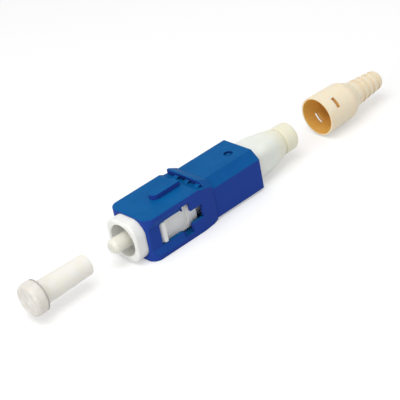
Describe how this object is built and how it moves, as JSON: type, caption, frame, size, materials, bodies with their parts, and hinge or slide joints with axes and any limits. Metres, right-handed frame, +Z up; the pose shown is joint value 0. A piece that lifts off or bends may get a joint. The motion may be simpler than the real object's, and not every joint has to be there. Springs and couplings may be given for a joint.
{
  "type": "sc fibre connector",
  "caption": "Push-pull fibre connector: blue keyed housing over a white plug frame with ceramic ferrule, a white rear body, a dust cap and a soft boot laid out on its axis.",
  "frame": {"origin": "on the underside of the outer housing, half way along it, under the fibre axis", "axes": "+X from the mating end to the cable end, +Z up to the side with the key, the fibre axis at y = 0 and 3.7 mm above the underside"},
  "size_m": [0.0771, 0.009, 0.0082],
  "materials": {
    "milky_cap": "milky translucent",
    "blue_housing": "satin moulded",
    "white_frame": "satin moulded",
    "zirconia": "polished",
    "flange_metal": "turned",
    "tube_plastic": "extruded",
    "spring_steel": "drawn wire",
    "white_rear": "satin moulded",
    "beige_boot": "soft satin"
  },
  "bodies": {
    "housing": {"outer_housing": "blue_housing"},
    "core": {"plug_frame": "white_frame", "rear_body": "white_rear", "spring": "spring_steel"},
    "ferrule_unit": {"ferrule": "zirconia", "ferrule_flange": "flange_metal", "guide_tube": "tube_plastic"},
    "cap": {"dust_cap": "milky_cap"},
    "boot_body": {"boot": "beige_boot"}
  },
  "joints": [
    {"name": "core_slide", "type": "slide", "parent": "housing", "child": "core", "axis": [1, 0, 0], "range_m": [0, 0.0009]},
    {"name": "ferrule_float", "type": "slide", "parent": "core", "child": "ferrule_unit", "axis": [1, 0, 0], "range_m": [0, 0.002], "stiffness_N_per_m": 2000, "deforming": ["spring"]},
    {"name": "cap_slide", "type": "slide", "parent": "core", "child": "cap", "axis": [1, 0, 0], "range_m": [0, 0.01205]},
    {"name": "boot_slide", "type": "slide", "parent": "core", "child": "boot_body", "axis": [-1, 0, 0], "range_m": [0, 0.0116]}
  ]
}
